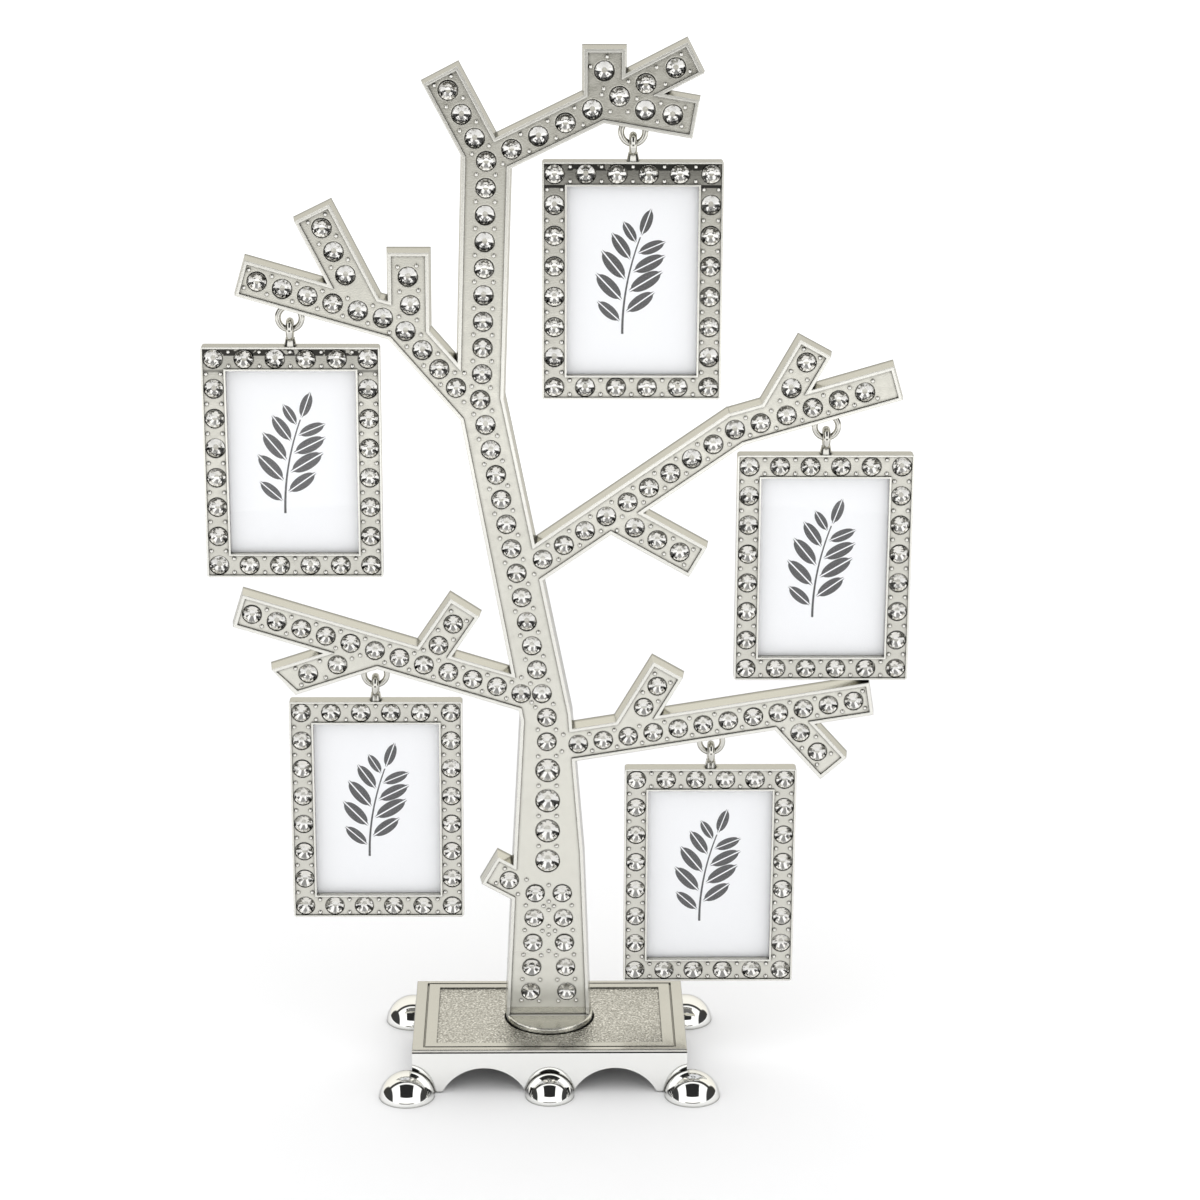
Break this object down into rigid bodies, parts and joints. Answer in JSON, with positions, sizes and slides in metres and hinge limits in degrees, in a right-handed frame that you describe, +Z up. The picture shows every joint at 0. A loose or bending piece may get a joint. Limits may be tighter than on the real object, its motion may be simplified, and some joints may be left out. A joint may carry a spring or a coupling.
{
  "type": "photo tree stand",
  "caption": "Jewelled metal photo tree: a flat branched tree on a footed base, with small picture frames swinging from rings under its branches.",
  "frame": {"origin": "on the floor under the feet, at the middle of the whole object's box", "axes": "+Z up along the trunk, -Y towards the front where the stones and prints face, +X to the viewer's right"},
  "size_m": [0.187, 0.0638, 0.2845],
  "materials": {
    "satin_nickel": "satin",
    "polished_nickel": "polished",
    "crystal": "polished",
    "clear_sheet": "gloss",
    "print_card": "matte",
    "back_plate": "satin",
    "plain_steel": "satin"
  },
  "bodies": {
    "stand": {"base_plate": "satin_nickel", "base_apron": "polished_nickel", "plate_nuts": "plain_steel", "tree": "satin_nickel", "tree_stones": "crystal", "trunk_stones": "crystal", "trunk_screws": "plain_steel", "trunk_washers": "plain_steel", "foot_front_left": "polished_nickel", "foot_front_right": "polished_nickel", "foot_back_left": "polished_nickel", "foot_back_right": "polished_nickel", "foot_front_middle": "polished_nickel", "foot_back_middle": "polished_nickel", "upper_left_ring": "polished_nickel", "top_right_ring": "polished_nickel", "mid_right_ring": "polished_nickel", "lower_left_ring": "polished_nickel", "lower_right_ring": "polished_nickel"},
    "upper_left_picture": {"upper_left_frame": "satin_nickel", "upper_left_stones": "crystal", "upper_left_eye": "polished_nickel", "upper_left_lens": "clear_sheet", "upper_left_card": "print_card"},
    "upper_left_back_plate": {"upper_left_back": "back_plate"},
    "top_right_picture": {"top_right_frame": "satin_nickel", "top_right_stones": "crystal", "top_right_eye": "polished_nickel", "top_right_lens": "clear_sheet", "top_right_card": "print_card"},
    "top_right_back_plate": {"top_right_back": "back_plate"},
    "mid_right_picture": {"mid_right_frame": "satin_nickel", "mid_right_stones": "crystal", "mid_right_eye": "polished_nickel", "mid_right_lens": "clear_sheet", "mid_right_card": "print_card"},
    "mid_right_back_plate": {"mid_right_back": "back_plate"},
    "lower_left_picture": {"lower_left_frame": "satin_nickel", "lower_left_stones": "crystal", "lower_left_eye": "polished_nickel", "lower_left_lens": "clear_sheet", "lower_left_card": "print_card"},
    "lower_left_back_plate": {"lower_left_back": "back_plate"},
    "lower_right_picture": {"lower_right_frame": "satin_nickel", "lower_right_stones": "crystal", "lower_right_eye": "polished_nickel", "lower_right_lens": "clear_sheet", "lower_right_card": "print_card"},
    "lower_right_back_plate": {"lower_right_back": "back_plate"}
  },
  "joints": [
    {"name": "upper_left_swing", "type": "hinge", "parent": "stand", "child": "upper_left_picture", "pos_m": [-0.0702, 0, 0.2086], "axis": [1, 0, 0], "range_deg": [-90, 90]},
    {"name": "upper_left_back_pull", "type": "slide", "parent": "upper_left_picture", "child": "upper_left_back_plate", "axis": [0, 1, 0], "range_m": [0, 0.012]},
    {"name": "top_right_swing", "type": "hinge", "parent": "stand", "child": "top_right_picture", "pos_m": [0.0187, 0, 0.25743], "axis": [1, 0, 0], "range_deg": [-90, 90]},
    {"name": "top_right_back_pull", "type": "slide", "parent": "top_right_picture", "child": "top_right_back_plate", "axis": [0, 1, 0], "range_m": [0, 0.012]},
    {"name": "mid_right_swing", "type": "hinge", "parent": "stand", "child": "mid_right_picture", "pos_m": [0.0702, 0, 0.17943], "axis": [1, 0, 0], "range_deg": [-90, 90]},
    {"name": "mid_right_back_pull", "type": "slide", "parent": "mid_right_picture", "child": "mid_right_back_plate", "axis": [0, 1, 0], "range_m": [0, 0.012]},
    {"name": "lower_left_swing", "type": "hinge", "parent": "stand", "child": "lower_left_picture", "pos_m": [-0.0495, 0, 0.11047], "axis": [1, 0, 0], "range_deg": [-90, 90]},
    {"name": "lower_left_back_pull", "type": "slide", "parent": "lower_left_picture", "child": "lower_left_back_plate", "axis": [0, 1, 0], "range_m": [0, 0.012]},
    {"name": "lower_right_swing", "type": "hinge", "parent": "stand", "child": "lower_right_picture", "pos_m": [0.0411, 0, 0.09096], "axis": [1, 0, 0], "range_deg": [-90, 90]},
    {"name": "lower_right_back_pull", "type": "slide", "parent": "lower_right_picture", "child": "lower_right_back_plate", "axis": [0, 1, 0], "range_m": [0, 0.012]}
  ]
}
